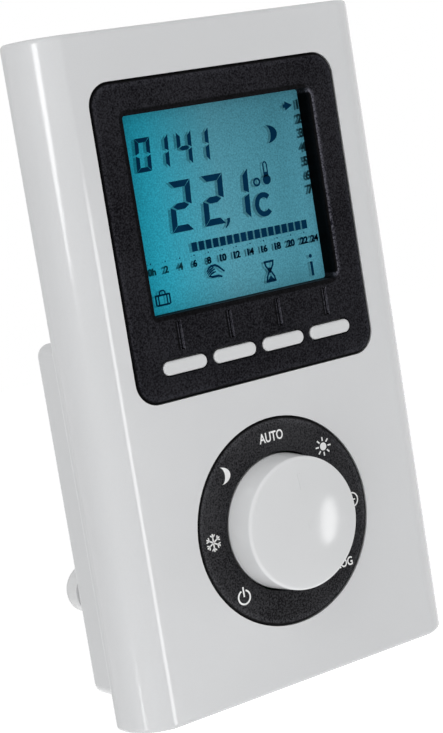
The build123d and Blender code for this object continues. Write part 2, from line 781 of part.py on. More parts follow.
# Wiper: sprung brass plate under the disc, with three feet on the board's tracks
with BuildPart() as selector_wiper:
    with BuildSketch(at_depth(disc_d + 1.5)):
        with Locations((0, dial_z)):
            Circle(disc_r - 1.0)
            Circle(3.2, mode=Mode.SUBTRACT)
    extrude(amount=-0.3)
    with BuildSketch(at_depth(disc_d + 1.5)):
        with Locations((0, dial_z)):
            with PolarLocations(4.7, 3):
                Circle(0.6)
    extrude(amount=-(board_d - disc_d - 1.5))
selector_wiper.part.label = "selector_wiper"
export_step(selector_wiper.part, "parts/selector_wiper.step")

# Detent spring: curved strip in the housing whose bump stands opposite a notch
with BuildPart() as detent_spring:
    with BuildSketch(at_depth(disc_d + 0.2)):
        with Locations((0, dial_z)):
            Circle(cavity_r)
            Circle(cavity_r - 0.4, mode=Mode.SUBTRACT)
        with Locations((0, dial_z - cavity_r)):
            Rectangle(4 * cavity_r, 3.2 * cavity_r / 2, mode=Mode.SUBTRACT)
        with Locations((0, dial_z + disc_r + 1.0)):
            Circle(0.65)
    extrude(amount=-1.1)
detent_spring.part.label = "detent_spring"
export_step(detent_spring.part, "parts/detent_spring.step")

# AAA cells, one facing each way
nub_r = 1.9
nub_l = 1.2
plate_th = 0.4
cell_y = y_front + cell_d
spring_end = bay_half - plate_th
with BuildPart() as battery_1:
    with BuildSketch(Plane.YZ.offset(spring_end - nub_l)):
        with Locations((cell_y, cell_zs[0])):
            Circle(cell_r)
    extrude(amount=-(cell_l - nub_l))
    with BuildSketch(Plane.YZ.offset(spring_end - nub_l)):
        with Locations((cell_y, cell_zs[0])):
            Circle(nub_r)
    extrude(amount=nub_l)
battery_1.part.label = "battery_1"
export_step(battery_1.part, "parts/battery_1.step")

with BuildPart() as battery_2:
    with BuildSketch(Plane.YZ.offset(-(spring_end - nub_l))):
        with Locations((cell_y, cell_zs[1])):
            Circle(cell_r)
    extrude(amount=cell_l - nub_l)
    with BuildSketch(Plane.YZ.offset(-(spring_end - nub_l))):
        with Locations((cell_y, cell_zs[1])):
            Circle(nub_r)
    extrude(amount=-nub_l)
battery_2.part.label = "battery_2"
export_step(battery_2.part, "parts/battery_2.step")

# Flat contacts at the nub ends, with tails down to the board
tail_d = board_back
with BuildPart() as battery_plates:
    for side, cell_z in ((1, cell_zs[0]), (-1, cell_zs[1])):
        with BuildSketch(Plane.YZ.offset(side * (bay_half - plate_th / 2))):
            with Locations((cell_y, cell_z)):
                Rectangle(8.0, 8.4)
            with Locations(((cell_y + y_front + tail_d) / 2, cell_z)):
                Rectangle(cell_y - y_front - tail_d, 2.0)
        extrude(amount=plate_th / 2, both=True)
battery_plates.part.label = "battery_plates"
export_step(battery_plates.part, "parts/battery_plates.step")

# Coil contacts at the flat ends, each on a plate with a tail
wire_r = 0.35
coil_r = 3.2
with BuildPart() as battery_springs:
    for side, cell_z in ((-1, cell_zs[0]), (1, cell_zs[1])):
        with BuildSketch(Plane.YZ.offset(side * (bay_half - plate_th / 2))):
            with Locations((cell_y, cell_z)):
                Rectangle(8.0, 8.4)
            with Locations(((cell_y + y_front + tail_d) / 2, cell_z)):
                Rectangle(cell_y - y_front - tail_d, 2.0)
        extrude(amount=plate_th / 2, both=True)
        coil_start = (side * (bay_half - plate_th), cell_y, cell_z)
        with BuildLine() as coil:
            Helix(
                pitch=(spring_l - wire_r) / 3,
                height=spring_l - wire_r,
                radius=coil_r,
                center=coil_start,
                direction=(-side, 0, 0),
                cone_angle=-12,
            )
        with BuildSketch(Plane(origin=coil.line @ 0, z_dir=coil.line % 0)):
            RegularPolygon(wire_r, 6)
        sweep(path=coil.line, is_frenet=True)
battery_springs.part.label = "battery_springs"
export_step(battery_springs.part, "parts/battery_springs.step")

# Controller, clock crystal and storage capacitor on the back of the board
chip_z = bay_top + chip_up
with BuildPart() as control_chip:
    with BuildSketch(at_depth(board_back + 0.1)):
        with Locations((chip_x, chip_z)):
            Rectangle(chip_w, chip_w)
    extrude(amount=-chip_t)
    with BuildSketch(at_depth(board_back)):
        with Locations((chip_x, chip_z)):
            with GridLocations(pin_pitch, chip_w + 0.8, 7, 2):
                Rectangle(0.5, 1.2)
            with GridLocations(chip_w + 0.8, pin_pitch, 2, 7):
                Rectangle(1.2, 0.5)
    extrude(amount=-0.4)
control_chip.part.label = "control_chip"
export_step(control_chip.part, "parts/control_chip.step")

with BuildPart() as crystal:
    with BuildSketch(at_depth(board_back)):
        with Locations((0, chip_z)):
            SlotOverall(crystal_l, crystal_w, rotation=90)
    extrude(amount=-crystal_t)
crystal.part.label = "crystal"
export_step(crystal.part, "parts/crystal.step")

with BuildPart() as capacitor:
    with BuildSketch(at_depth(board_back)):
        with Locations((cap_x, chip_z - cap_drop)):
            Circle(cap_r)
    extrude(amount=-cap_l)
    fillet(capacitor.edges().group_by(Axis.Y)[-1], 0.5)
capacitor.part.label = "capacitor"
export_step(capacitor.part, "parts/capacitor.step")

# Radio module: small board, tin shield and a quarter-wave wire
radio_z = chip_z + radio_up
with BuildPart() as radio_board:
    with BuildSketch(at_depth(board_back)):
        with Locations((radio_x, radio_z)):
            Rectangle(radio_w, radio_h)
    extrude(amount=-radio_t)
radio_board.part.label = "radio_board"
export_step(radio_board.part, "parts/radio_board.step")

shield_x = radio_x - radio_w / 2 + 1.5 + shield_w / 2
with BuildPart() as radio_shield:
    with BuildSketch(at_depth(board_back + radio_t)):
        with Locations((shield_x, radio_z)):
            RectangleRounded(shield_w, shield_h, 2 * shield_t)
    extrude(amount=-shield_l)
    with BuildSketch(at_depth(board_back + radio_t)):
        with Locations((shield_x, radio_z)):
            Rectangle(shield_w - 2 * shield_t, shield_h - 2 * shield_t)
    extrude(amount=-(shield_l - shield_t), mode=Mode.SUBTRACT)
radio_shield.part.label = "radio_shield"
export_step(radio_shield.part, "parts/radio_shield.step")

aerial_x = radio_x + radio_w / 2 - 2.0
aerial_foot = radio_z + radio_h / 2 - 2.0
aerial_y = y_front + board_back + aerial_out
aerial_z = block_top - wall - aerial_gap
aerial_end = -(block_w / 2 - wall - 2 * aerial_gap)
with BuildPart() as antenna:
    with BuildLine() as aerial:
        FilletPolyline(
            (aerial_x, y_front + board_back + radio_t, aerial_foot),
            (aerial_x, aerial_y, aerial_foot),
            (aerial_x, aerial_y, aerial_z),
            (aerial_end, aerial_y, aerial_z),
            (aerial_end, aerial_y, aerial_z - aerial_tail),
            radius=3 * aerial_r,
        )
    with BuildSketch(Plane(origin=aerial.line @ 0, z_dir=aerial.line % 0)):
        RegularPolygon(aerial_r, 8)
    sweep(path=aerial.line)
antenna.part.label = "antenna"
export_step(antenna.part, "parts/antenna.step")

# Temperature sensor: a bead on two leads, low down by the air slots
sensor_d = board_d - 2.2
sensor_z = board_bot + sensor_up
with BuildPart() as temperature_sensor:
    with BuildSketch(at_depth(sensor_d)):
        with Locations((sensor_x - bead_r / 2, sensor_z), (sensor_x + bead_r / 2, sensor_z)):
            Rectangle(0.5, 0.5)
    extrude(amount=-(board_d - sensor_d))
    with Locations((sensor_x, y_front + sensor_d - 1.0, sensor_z)):
        Sphere(bead_r)
temperature_sensor.part.label = "temperature_sensor"
export_step(temperature_sensor.part, "parts/temperature_sensor.step")

# Screws that hold the board to the cover
with BuildPart() as board_screws:
    with BuildSketch(at_depth(board_back)):
        with Locations(*boss_places):
            Circle(head_r)
    extrude(amount=-head_t)
    with BuildSketch(at_depth(board_back)):
        with Locations(*boss_places):
            Circle(screw_r)
    extrude(amount=board_back - wall - 0.8)
    # Cross recess in each head
    with BuildSketch(at_depth(board_back + head_t)):
        with Locations(*boss_places):
            Rectangle(cross_l, cross_w)
            Rectangle(cross_w, cross_l)
    extrude(amount=cross_deep, mode=Mode.SUBTRACT)
board_screws.part.label = "board_screws"
export_step(board_screws.part, "parts/board_screws.step")

# Screws that hold the two casing halves together
with BuildPart() as case_screws:
    with BuildSketch(at_depth(flange_d - 2.2)):
        with Locations(*case_places):
            Circle(case_head_r)
    extrude(amount=-case_head_t)
    with BuildSketch(at_depth(flange_d - 2.2)):
        with Locations(*case_places):
            Circle(screw_r)
    extrude(amount=flange_d - 2.2 - wall - 1.1)
    # Cross recess in each head
    with BuildSketch(at_depth(flange_d - 2.2 + case_head_t)):
        with Locations(*case_places):
            Rectangle(cross_l, cross_w)
            Rectangle(cross_w, cross_l)
    extrude(amount=cross_deep, mode=Mode.SUBTRACT)
case_screws.part.label = "case_screws"
export_step(case_screws.part, "parts/case_screws.step")
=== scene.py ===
import bpy
import numpy as np
from mathutils import Matrix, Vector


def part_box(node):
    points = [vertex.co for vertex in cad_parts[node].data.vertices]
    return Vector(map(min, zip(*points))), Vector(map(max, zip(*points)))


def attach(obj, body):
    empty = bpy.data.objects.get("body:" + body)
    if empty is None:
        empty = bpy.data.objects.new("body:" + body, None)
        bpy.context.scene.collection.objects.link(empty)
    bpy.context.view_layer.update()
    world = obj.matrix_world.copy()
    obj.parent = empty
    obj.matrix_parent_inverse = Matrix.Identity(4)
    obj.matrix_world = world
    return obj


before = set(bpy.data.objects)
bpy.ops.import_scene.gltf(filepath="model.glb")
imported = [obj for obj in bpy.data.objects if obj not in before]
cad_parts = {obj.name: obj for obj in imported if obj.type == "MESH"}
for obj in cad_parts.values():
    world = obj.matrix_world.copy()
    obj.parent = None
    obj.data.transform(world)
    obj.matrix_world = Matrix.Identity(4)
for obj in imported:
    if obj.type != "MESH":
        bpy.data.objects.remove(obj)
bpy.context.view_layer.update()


# Wall plate: an injection-moulded plate of white ABS with a ribbed back. Two countersunk
# screws through its side lugs hold it to the wall, and its four hooks carry the set.
def feed(tree, node, values):
    """Links each named input of a node to another node's output, or sets its plain value."""
    for key, value in values.items():
        if isinstance(value, bpy.types.NodeSocket):
            tree.links.new(value, node.inputs[key])
        else:
            node.inputs[key].default_value = value
    return node


def place(tree, kind, values=None, **settings):
    """One shader node with its settings and its inputs."""
    node = tree.nodes.new(kind)
    for key, value in settings.items():
        setattr(node, key, value)
    return feed(tree, node, values or {})


def reckon(tree, operation, *values):
    """Result of one operation on up to three values, each a number or an output."""
    return place(tree, "ShaderNodeMath", dict(enumerate(values)), operation=operation).outputs[0]


def carry(tree, value, span, onto=(0.0, 1.0)):
    """A value carried evenly from a span, first to last, onto another, and held at its ends."""
    ends = dict(zip(("From Min", "From Max", "To Min", "To Max"), (*span, *onto)))
    return place(tree, "ShaderNodeMapRange", {"Value": value, **ends}).outputs[0]


def tint(tree, share, low, high):
    """Colour that goes from low to high with a share of 0 to 1."""
    return place(tree, "ShaderNodeMix", {0: share, 6: low, 7: high}, data_type="RGBA").outputs[2]


def new_group(name, takes, gives, kind="NodeSocketFloat"):
    """Shader node group that takes named numbers and gives named results of one kind. The
    numbers come back as sockets beside it."""
    group = bpy.data.node_groups.new(name, "ShaderNodeTree")
    for socket in takes:
        group.interface.new_socket(socket, in_out="INPUT", socket_type="NodeSocketFloat")
    for socket in gives:
        group.interface.new_socket(socket, in_out="OUTPUT", socket_type=kind)
    return group, place(group, "NodeGroupInput").outputs


def make_moulded_skin():
    """Skin of a moulding, three layers of noise on Object coordinates: a slow drift of tone,
    the orange peel of about a millimetre, and the fine grain that the tool leaves. The tone is
    drift + speckle * grain, and the height is peel + grain share * grain."""
    grain_share = 0.45
    group, given = new_group(
        "moulded_skin", ("Drift", "Peel", "Grain", "Speckle"), ("Tone", "Gloss", "Height")
    )
    spot = place(group, "ShaderNodeTexCoord").outputs["Object"]
    layers = []
    for scale, detail, roughness in (("Drift", 3.0, 0.5), ("Peel", 1.0, 0.4), ("Grain", 2.0, 0.6)):
        values = {"Vector": spot, "Scale": given[scale], "Detail": detail, "Roughness": roughness}
        layers.append(place(group, "ShaderNodeTexNoise", values).outputs["Fac"])
    drift, peel, grain = layers
    tone = reckon(group, "MULTIPLY_ADD", grain, given["Speckle"], drift)
    height = reckon(group, "MULTIPLY_ADD", grain, grain_share, peel)
    place(group, "NodeGroupOutput", {"Tone": tone, "Gloss": peel, "Height": height})
    return group


def new_material(name):
    """Material of one Principled shader, with its node tree and that shader."""
    material = bpy.data.materials.new(name)
    material.use_nodes = True
    return material, material.node_tree, material.node_tree.nodes["Principled BSDF"]


moulded_skin = make_moulded_skin()
noise_span = (0.3, 0.7)
drift_spread, grain_spread = 0.12, 0.14


def moulded_plastic(name, low, high, rough, skin, depth, specular=0.5, speckle=0.35):
    """Plastic whose colour goes from low to high with the skin's tone, whose roughness follows
    its peel between two values, and whose relief is depth metres high. The skin is the scales
    of its drift, peel and grain."""
    material, tree, shader = new_material(name)
    scales = dict(zip(("Drift", "Peel", "Grain", "Speckle"), (*skin, speckle)))
    layer = place(tree, "ShaderNodeGroup", scales, node_tree=moulded_skin).outputs
    middle = (1 + speckle) / 2
    spread = drift_spread + grain_spread * speckle
    tone = carry(tree, layer["Tone"], (middle - spread, middle + spread))
    bumps = {"Strength": 1.0, "Distance": depth, "Height": layer["Height"]}
    looks = {
        "Base Color": tint(tree, tone, (*low, 1), (*high, 1)),
        "Specular IOR Level": specular,
        "Roughness": carry(tree, layer["Gloss"], noise_span, rough),
        "Normal": place(tree, "ShaderNodeBump", bumps).outputs[0],
    }
    feed(tree, shader, looks)
    return material


def dress(material, *names):
    """Puts one material on every slot of the named solids."""
    for name in names:
        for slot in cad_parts[name].material_slots:
            slot.material = material


plate_white = moulded_plastic(
    "wall_plate_white", (0.60, 0.605, 0.61), (0.62, 0.625, 0.63), (0.36, 0.44),
    skin=(30, 700, 5200), depth=0.6e-6, speckle=0.1,
)
dress(plate_white, "wall_plate")

# Rear shell and battery door: white ABS mouldings with a fine matt tool texture at the back.
# The door runs in two grooves of the shell and slides down off the cells.
# Its white is a little darker than the cover's. That is painted shade, because the shell sits back behind the
# cover.
rear_shaded_white = moulded_plastic(
    "rear_shell_white", (0.56, 0.567, 0.575), (0.575, 0.582, 0.59), (0.28, 0.34),
    skin=(22, 800, 4200), depth=0.5e-6, speckle=0.1,
)
dress(rear_shaded_white, "rear_shell", "battery_cover")


# Cells and contacts: two AAA cells in a shrunk printed sleeve with bare steel ends, held
# between nickel-plated strip and coil contacts that are pushed into the bay's end walls.
def make_plated_metal():
    """Skin of bare or plated metal: short scratches, drawn out along X by stretching the
    noise, over slow patches of tarnish."""
    stretch = (0.12, 1, 1)
    group, given = new_group("plated_metal", ("Scratches", "Patches"), ("Tone", "Height"))
    spot = place(group, "ShaderNodeTexCoord").outputs["Object"]
    drawn = place(group, "ShaderNodeMapping", {"Vector": spot, "Scale": stretch}).outputs[0]
    layers = []
    for vector, scale, detail in ((drawn, "Scratches", 2.0), (spot, "Patches", 3.0)):
        values = {"Vector": vector, "Scale": given[scale], "Detail": detail}
        layers.append(place(group, "ShaderNodeTexNoise", values).outputs["Fac"])
    scratch, patch = layers
    place(group, "NodeGroupOutput", {"Tone": patch, "Height": scratch})
    return group


plated_metal = make_plated_metal()


def bare_metal(name, low, high, rough, scratches, depth, patches=160.0):
    """Metal that goes from low to high in colour over its tarnish, with drawn scratches."""
    material, tree, shader = new_material(name)
    scales = {"Scratches": scratches, "Patches": patches}
    layer = place(tree, "ShaderNodeGroup", scales, node_tree=plated_metal).outputs
    bumps = {"Strength": 1.0, "Distance": depth, "Height": layer["Height"]}
    looks = {
        "Base Color": tint(tree, layer["Tone"], (*low, 1), (*high, 1)),
        "Metallic": 1.0,
        "Roughness": carry(tree, layer["Height"], noise_span, rough),
        "Normal": place(tree, "ShaderNodeBump", bumps).outputs[0],
    }
    feed(tree, shader, looks)
    return material


def spot_axes(tree):
    """X, Y and Z of the shaded spot in Object coordinates."""
    spot = place(tree, "ShaderNodeTexCoord").outputs["Object"]
    return place(tree, "ShaderNodeSeparateXYZ", {0: spot}).outputs


def ramp(tree, share, stops, interpolation="LINEAR"):
    """Colour along a share of 0 to 1, by stops of position and colour in rising order."""
    node = place(tree, "ShaderNodeValToRGB", {"Fac": share})
    node.color_ramp.interpolation = interpolation
    elements = node.color_ramp.elements
    for element, (position, colour) in zip((elements[0], elements[1]), (stops[0], stops[-1])):
        element.position = position
        element.color = (*colour, 1)
    for position, colour in stops[1:-1]:
        elements.new(position).color = (*colour, 1)
    return node.outputs["Color"]


sleeve_dark, sleeve_band, bare, wrapped = (0.03, 0.035, 0.045), (0.16, 0.27, 0.36), (1, 1, 1), (0, 0, 0)
sleeve_stops = ((0.0, sleeve_dark), (0.70, sleeve_band))
rim_stops = ((0.0, bare), (0.02, wrapped), (0.955, bare))


def cell_sleeve(name, plus_side):
    """Printed sleeve with a light band at its plus end and bare steel past both rims, chosen by
    the distance along X from the minus end."""
    low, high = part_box(name)
    minus_to_plus = (low.x, high.x) if plus_side > 0 else (high.x, low.x)
    material = bare_metal(name + "_sleeve", (0.48, 0.48, 0.5), (0.62, 0.62, 0.64), (0.25, 0.4), 4000, 2e-6)
    tree = material.node_tree
    shader = tree.nodes["Principled BSDF"]
    steel = shader.inputs["Base Color"].links[0].from_socket
    along = carry(tree, spot_axes(tree)["X"], minus_to_plus)
    print_colour = ramp(tree, along, sleeve_stops, "CONSTANT")
    steel_share = ramp(tree, along, rim_stops, "CONSTANT")
    looks = {"Base Color": tint(tree, steel_share, print_colour, steel), "Metallic": steel_share}
    feed(tree, shader, looks)
    return material


dress(cell_sleeve("battery_1", 1), "battery_1")
dress(cell_sleeve("battery_2", -1), "battery_2")
nickel = bare_metal("nickel_plate", (0.52, 0.51, 0.49), (0.66, 0.65, 0.63), (0.2, 0.34), 5000, 1.5e-6)
dress(nickel, "battery_plates", "battery_springs", "detent_spring")

# Circuit boards: glass-epoxy laminate under solder mask, green on the main board and blue on
# the small radio board that stands on it. The copper tracks show through as paler lines.
track_edge = (0.05, 0.09)


def solder_mask(name, low, high, pitch):
    """Mask over copper: its colour goes from low to high on the tracks, which lie on the edges
    of Voronoi cells."""
    material = moulded_plastic(name, low, low, (0.3, 0.42), (60, 2400, 7000), 2e-6)
    tree = material.node_tree
    spot = place(tree, "ShaderNodeTexCoord").outputs["Object"]
    cells = place(tree, "ShaderNodeTexVoronoi", {"Vector": spot, "Scale": pitch}, feature="DISTANCE_TO_EDGE")
    track = carry(tree, cells.outputs["Distance"], track_edge, (1.0, 0.0))
    colour = tint(tree, track, (*low, 1), (*high, 1))
    feed(tree, tree.nodes["Principled BSDF"], {"Base Color": colour})
    return material


dress(solder_mask("board_mask", (0.012, 0.10, 0.035), (0.03, 0.19, 0.07), 320), "main_board")
dress(solder_mask("radio_mask", (0.010, 0.06, 0.12), (0.025, 0.12, 0.2), 520), "radio_board")

# Parts on the board: a moulded epoxy controller, drawn aluminium cans for the crystal, the
# capacitor and the radio shield, a brass aerial wire and a dipped epoxy sensor bead.
chip_epoxy = moulded_plastic(
    "chip_epoxy", (0.012, 0.012, 0.013), (0.03, 0.03, 0.032), (0.45, 0.6), skin=(90, 3000, 9000), depth=4e-6
)
dress(chip_epoxy, "control_chip")
drawn_can = bare_metal("drawn_can", (0.58, 0.58, 0.6), (0.72, 0.72, 0.74), (0.24, 0.42), 3600, 2e-6)
dress(drawn_can, "crystal", "capacitor", "radio_shield")
brass = bare_metal("bare_brass", (0.56, 0.37, 0.13), (0.72, 0.52, 0.22), (0.22, 0.38), 4200, 2e-6)
dress(brass, "antenna", "selector_wiper")
bead_epoxy = moulded_plastic(
    "bead_epoxy", (0.09, 0.035, 0.012), (0.15, 0.06, 0.025), (0.12, 0.2), skin=(120, 600, 3000), depth=3e-6
)
dress(bead_epoxy, "temperature_sensor")

# Switch parts: the selector housing and the key switches are black glass-filled nylon with
# a dull skin, and the rotor is grey acetal that turns in the housing.
switch_nylon = moulded_plastic(
    "switch_nylon", (0.014, 0.014, 0.015), (0.035, 0.035, 0.038), (0.42, 0.58),
    skin=(70, 2600, 8000), depth=5e-6,
)
dress(switch_nylon, "selector_housing", "key_switches")
dress(switch_nylon, "key_plunger_1", "key_plunger_2", "key_plunger_3", "key_plunger_4")
rotor_acetal = moulded_plastic(
    "rotor_acetal", (0.30, 0.30, 0.31), (0.38, 0.38, 0.39), (0.3, 0.42), skin=(50, 1500, 6000), depth=4e-6
)
dress(rotor_acetal, "selector_rotor")

# Display backing: a white carrier that clips to the board, a clear light guide with two
# side-facing light sources, and layered rubber strips that join the glass to the board.
carrier_white = moulded_plastic(
    "carrier_white", (0.66, 0.66, 0.64), (0.76, 0.76, 0.74), (0.4, 0.52), skin=(40, 1200, 6000), depth=5e-6
)
dress(carrier_white, "lcd_frame")
guide_clear = moulded_plastic(
    "guide_clear", (0.70, 0.78, 0.78), (0.80, 0.86, 0.86), (0.08, 0.16), skin=(60, 900, 5000), depth=2e-6
)
dress(guide_clear, "light_guide")
phosphor = moulded_plastic(
    "phosphor_lens", (0.70, 0.62, 0.30), (0.82, 0.76, 0.46), (0.2, 0.3), skin=(200, 2500, 9000), depth=3e-6
)
dress(phosphor, "backlight_leds")
strip_rubber = moulded_plastic(
    "strip_rubber", (0.44, 0.32, 0.30), (0.58, 0.46, 0.44), (0.55, 0.7), skin=(140, 3000, 9000), depth=6e-6
)
strip_tree = strip_rubber.node_tree
strip_spot = place(strip_tree, "ShaderNodeTexCoord").outputs["Object"]
strip_waves = {"Vector": strip_spot, "Scale": 1600.0}
strip_layers = place(strip_tree, "ShaderNodeTexWave", strip_waves, bands_direction="X")
strip_carbon, strip_silicone = (0.05, 0.045, 0.045, 1), (0.56, 0.44, 0.42, 1)
strip_colour = tint(strip_tree, strip_layers.outputs["Fac"], strip_carbon, strip_silicone)
feed(strip_tree, strip_tree.nodes["Principled BSDF"], {"Base Color": strip_colour})
dress(strip_rubber, "zebra_strips")

# Display glass: two panes with a polariser film on the front, lit blue green by the backlight, which makes it
# glow a little. Its colour across is painted light: brighter and bluer at the left and greyer at the right,
# as the lit display looks from the left, and lighter again at the right edge. It is also a little darker
# along the top.
glass_low, glass_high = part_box("lcd_glass")
window_half = (0.0226, 0.01955)
lit_and_painted_stops = (
    (0.0, (0.008, 0.262, 0.365)),
    (0.16, (0.022, 0.275, 0.375)),
    (0.50, (0.070, 0.252, 0.322)),
    (0.86, (0.058, 0.219, 0.282)),
    (1.0, (0.072, 0.262, 0.340)),
)
level_foot_to_top = (0.96, 0.70)
film_scale, film_levels = 3000.0, (0.78, 1.22)


def make_lit_glass():
    """Colour of the lit panes: a ramp along X that holds painted light, times a fall of level along Z, times
    the fine grain of the film."""
    group, given = new_group("lit_glass", ("Level",), ("Color",), "NodeSocketColor")
    axes = spot_axes(group)
    across = carry(group, axes["X"], (-window_half[0], window_half[0]))
    up = carry(group, axes["Z"], (glass_low.z, glass_high.z), level_foot_to_top)
    spot = place(group, "ShaderNodeTexCoord").outputs["Object"]
    grain = place(group, "ShaderNodeTexNoise", {"Vector": spot, "Scale": film_scale, "Detail": 2.0})
    film = carry(group, grain.outputs["Fac"], noise_span, film_levels)
    level = reckon(group, "MULTIPLY", reckon(group, "MULTIPLY", up, film), given["Level"])
    scaled = {0: ramp(group, across, lit_and_painted_stops), "Scale": level}
    colour = place(group, "ShaderNodeVectorMath", scaled, operation="SCALE").outputs[0]
    place(group, "NodeGroupOutput", {"Color": colour})
    return group


lit_glass = make_lit_glass()


def lit_pane(name, level):
    """Film-covered glass that shows the lit colour at one level and glows a little."""
    material, tree, shader = new_material(name)
    colour = place(tree, "ShaderNodeGroup", {"Level": level}, node_tree=lit_glass).outputs["Color"]
    looks = {
        "Base Color": colour,
        "Roughness": 0.5,
        "Specular IOR Level": 0.0,
        "Emission Color": colour,
        "Emission Strength": 0.4,
    }
    feed(tree, shader, looks)
    return material


dress(lit_pane("lit_display_glass", 1.0), "lcd_glass")

# Display marks: the dark segments and icons that the liquid crystal shows, with the soft
# shadow that each throws to the left on the reflector behind the cell.
# Sizes are in millimetres from the middle of the display frame, X right and Z up.
frame_low, frame_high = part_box("display_bezel")
frame_z = (frame_low.z + frame_high.z) / 2
mm_per_metre = 1000


def grid_patch(points):
    """Flat patch from a grid of points (i, j): its faces join each point to the next ones in i
    and j, in the turning sense of i towards j."""
    rows, columns = points.shape[:2]
    index = np.arange(rows * columns).reshape(rows, columns)
    faces = np.stack([index[:-1, :-1], index[1:, :-1], index[1:, 1:], index[:-1, 1:]], axis=-1)
    return points.reshape(-1, 2), faces.reshape(-1, 4).tolist()


def ribbon(path, width):
    """Ribbon along a path: each point is moved to both sides along the path's normal by half
    of the width there."""
    path = np.asarray(path, float)
    along = np.gradient(path, axis=0)
    along /= np.linalg.norm(along, axis=1, keepdims=True)
    normal = np.stack([-along[:, 1], along[:, 0]], axis=1)
    aside = normal * np.broadcast_to(width, len(path))[:, None] / 2
    return grid_patch(np.stack([path - aside, path + aside], axis=1))


def bar(start, end, width):
    """Straight ribbon of one width."""
    return ribbon(np.linspace(start, end, 2), width)


def arc(middle, radii, turn, width, steps=28):
    """Ribbon along an ellipse's arc; the turn is its first and last angle from the right."""
    angle = np.radians(np.linspace(*turn, steps))
    path = np.stack([radii[0] * np.cos(angle), radii[1] * np.sin(angle)], axis=1)
    return ribbon(np.array(middle) + path, width)


def disc(middle, radius, steps=28, pinhole=0.02):
    """Filled disc: a polar grid of radius and angle, from a tiny share of the radius outwards."""
    turn = np.radians(np.linspace(0, 360, steps))
    reach, angle = np.meshgrid([pinhole * radius, radius], turn, indexing="ij")
    x, z = middle[0] + reach * np.cos(angle), middle[1] + reach * np.sin(angle)
    return grid_patch(np.stack([x, z], axis=-1))


def crescent(horn, height, inner, outer, steps=24):
    """Moon: half ellipses of bulge inner and outer span the same horns, and the grid runs
    from one to the other."""
    turn = np.radians(np.linspace(-90, 90, steps))
    bulge, angle = np.meshgrid([inner, outer], turn, indexing="ij")
    x, z = horn[0] + bulge * np.cos(angle), horn[1] + height / 2 * np.sin(angle)
    return grid_patch(np.stack([x, z], axis=-1))


def lettering(text, height, middle, bold=0.0, width=None):
    """Characters of the built-in plain font as a flat mesh, scaled to a height, and to a width
    where one is given, and centred."""
    curve = bpy.data.curves.new("lettering", "FONT")
    curve.body = text
    curve.resolution_u = 5
    curve.offset = bold
    holder = bpy.data.objects.new("lettering", curve)
    mesh = bpy.data.meshes.new_from_object(holder)
    points = np.zeros(len(mesh.vertices) * 3)
    mesh.vertices.foreach_get("co", points)
    points = points.reshape(-1, 3)[:, :2]
    faces = [list(face.vertices) for face in mesh.polygons]
    low, high = points.min(axis=0), points.max(axis=0)
    grow = np.full(2, height / (high[1] - low[1]))
    if width:
        grow[0] = width / (high[0] - low[0])
    points = (points - (low + high) / 2) * grow + np.array(middle)
    bpy.data.objects.remove(holder)
    bpy.data.curves.remove(curve)
    bpy.data.meshes.remove(mesh)
    return points, faces


lit_segments = {"0": "abcdef", "1": "bc", "2": "abged", "4": "fgbc"}


def segment_digit(digit, left, bottom, width, height, weight, gap=0.14, slant=0.075):
    """One seven-segment digit inside its outline of width and height. Each outer segment is a
    trapezium with its long side on the outline and mitred ends, the middle one is a ribbon with
    pointed ends, and every point leans to the right by slant times its height."""
    half, cut = height / 2, gap / 2
    deep, tip = weight + cut, weight / 2 + cut
    inside, top = width - weight, height - weight
    sides = {
        "a": ((deep, top), (cut, height), (width - deep, top), (width - cut, height)),
        "b": ((inside, height - deep), (width, height - cut), (inside, half + tip), (width, half + cut)),
        "c": ((inside, half - tip), (width, half - cut), (inside, deep), (width, cut)),
        "d": ((width - deep, weight), (width - cut, 0), (deep, weight), (cut, 0)),
        "e": ((weight, deep), (0, cut), (weight, half - tip), (0, half - cut)),
        "f": ((weight, half + tip), (0, half + cut), (weight, height - deep), (0, height - cut)),
    }
    lit = lit_segments[digit]
    patches = [grid_patch(np.array(sides[name], float).reshape(2, 2, 2)) for name in lit if name != "g"]
    if "g" in lit:
        stops = np.array([tip, deep + tip / 2, width - deep - tip / 2, width - tip])
        path = np.stack([stops, np.full(4, half)], axis=1)
        patches.append(ribbon(path, weight * np.array([0.05, 1, 1, 0.05])))
    corner = np.array((left, bottom))
    return [(points + np.outer(points[:, 1] * slant, (1, 0)) + corner, faces) for points, faces in patches]


def printed_marks(name, patches, y, middle_z, thickness):
    """One thin plate of marks: all patches side by side in the plane y, in metres, with their
    faces towards the front, thickened to the back."""
    starts = np.cumsum([0] + [len(points) for points, _ in patches])
    flat = np.concatenate([points for points, _ in patches]) / mm_per_metre
    points = np.stack([flat[:, 0], np.full(len(flat), y), flat[:, 1] + middle_z], axis=1)
    faces = []
    for start, (_, group) in zip(starts, patches):
        faces += [[int(start + corner) for corner in face] for face in group]
    mesh = bpy.data.meshes.new(name)
    mesh.from_pydata(points.tolist(), [], faces)
    piece = bpy.data.objects.new(name, mesh)
    bpy.context.scene.collection.objects.link(piece)
    solid = piece.modifiers.new("thickness", "SOLIDIFY")
    solid.thickness = thickness
    solid.offset = -1
    return piece


digit_marks = []
for digit, left in zip("0141", (-18.85, -14.53, -9.0, -4.8)):
    digit_marks += segment_digit(digit, left, bottom=13.2, width=3.5, height=6.6, weight=0.88, gap=0.12)
for digit, left in zip("221", (-12.95, -5.07, 1.25)):
    digit_marks += segment_digit(digit, left, bottom=0.43, width=5.15, height=10.0, weight=1.28)
comma = ribbon([(0.75, 1.3), (0.75, 0.75), (0.35, 0.0), (-0.25, -0.55)], [0.75, 0.7, 0.45, 0.2])
degree_ring = arc((9.05, 7.3), (0.7, 0.7), (0, 360), 0.42)
degree_letter = arc((10.0, 2.6), (1.75, 1.95), (42, 318), 1.05)
digit_marks += [comma, degree_ring, degree_letter]

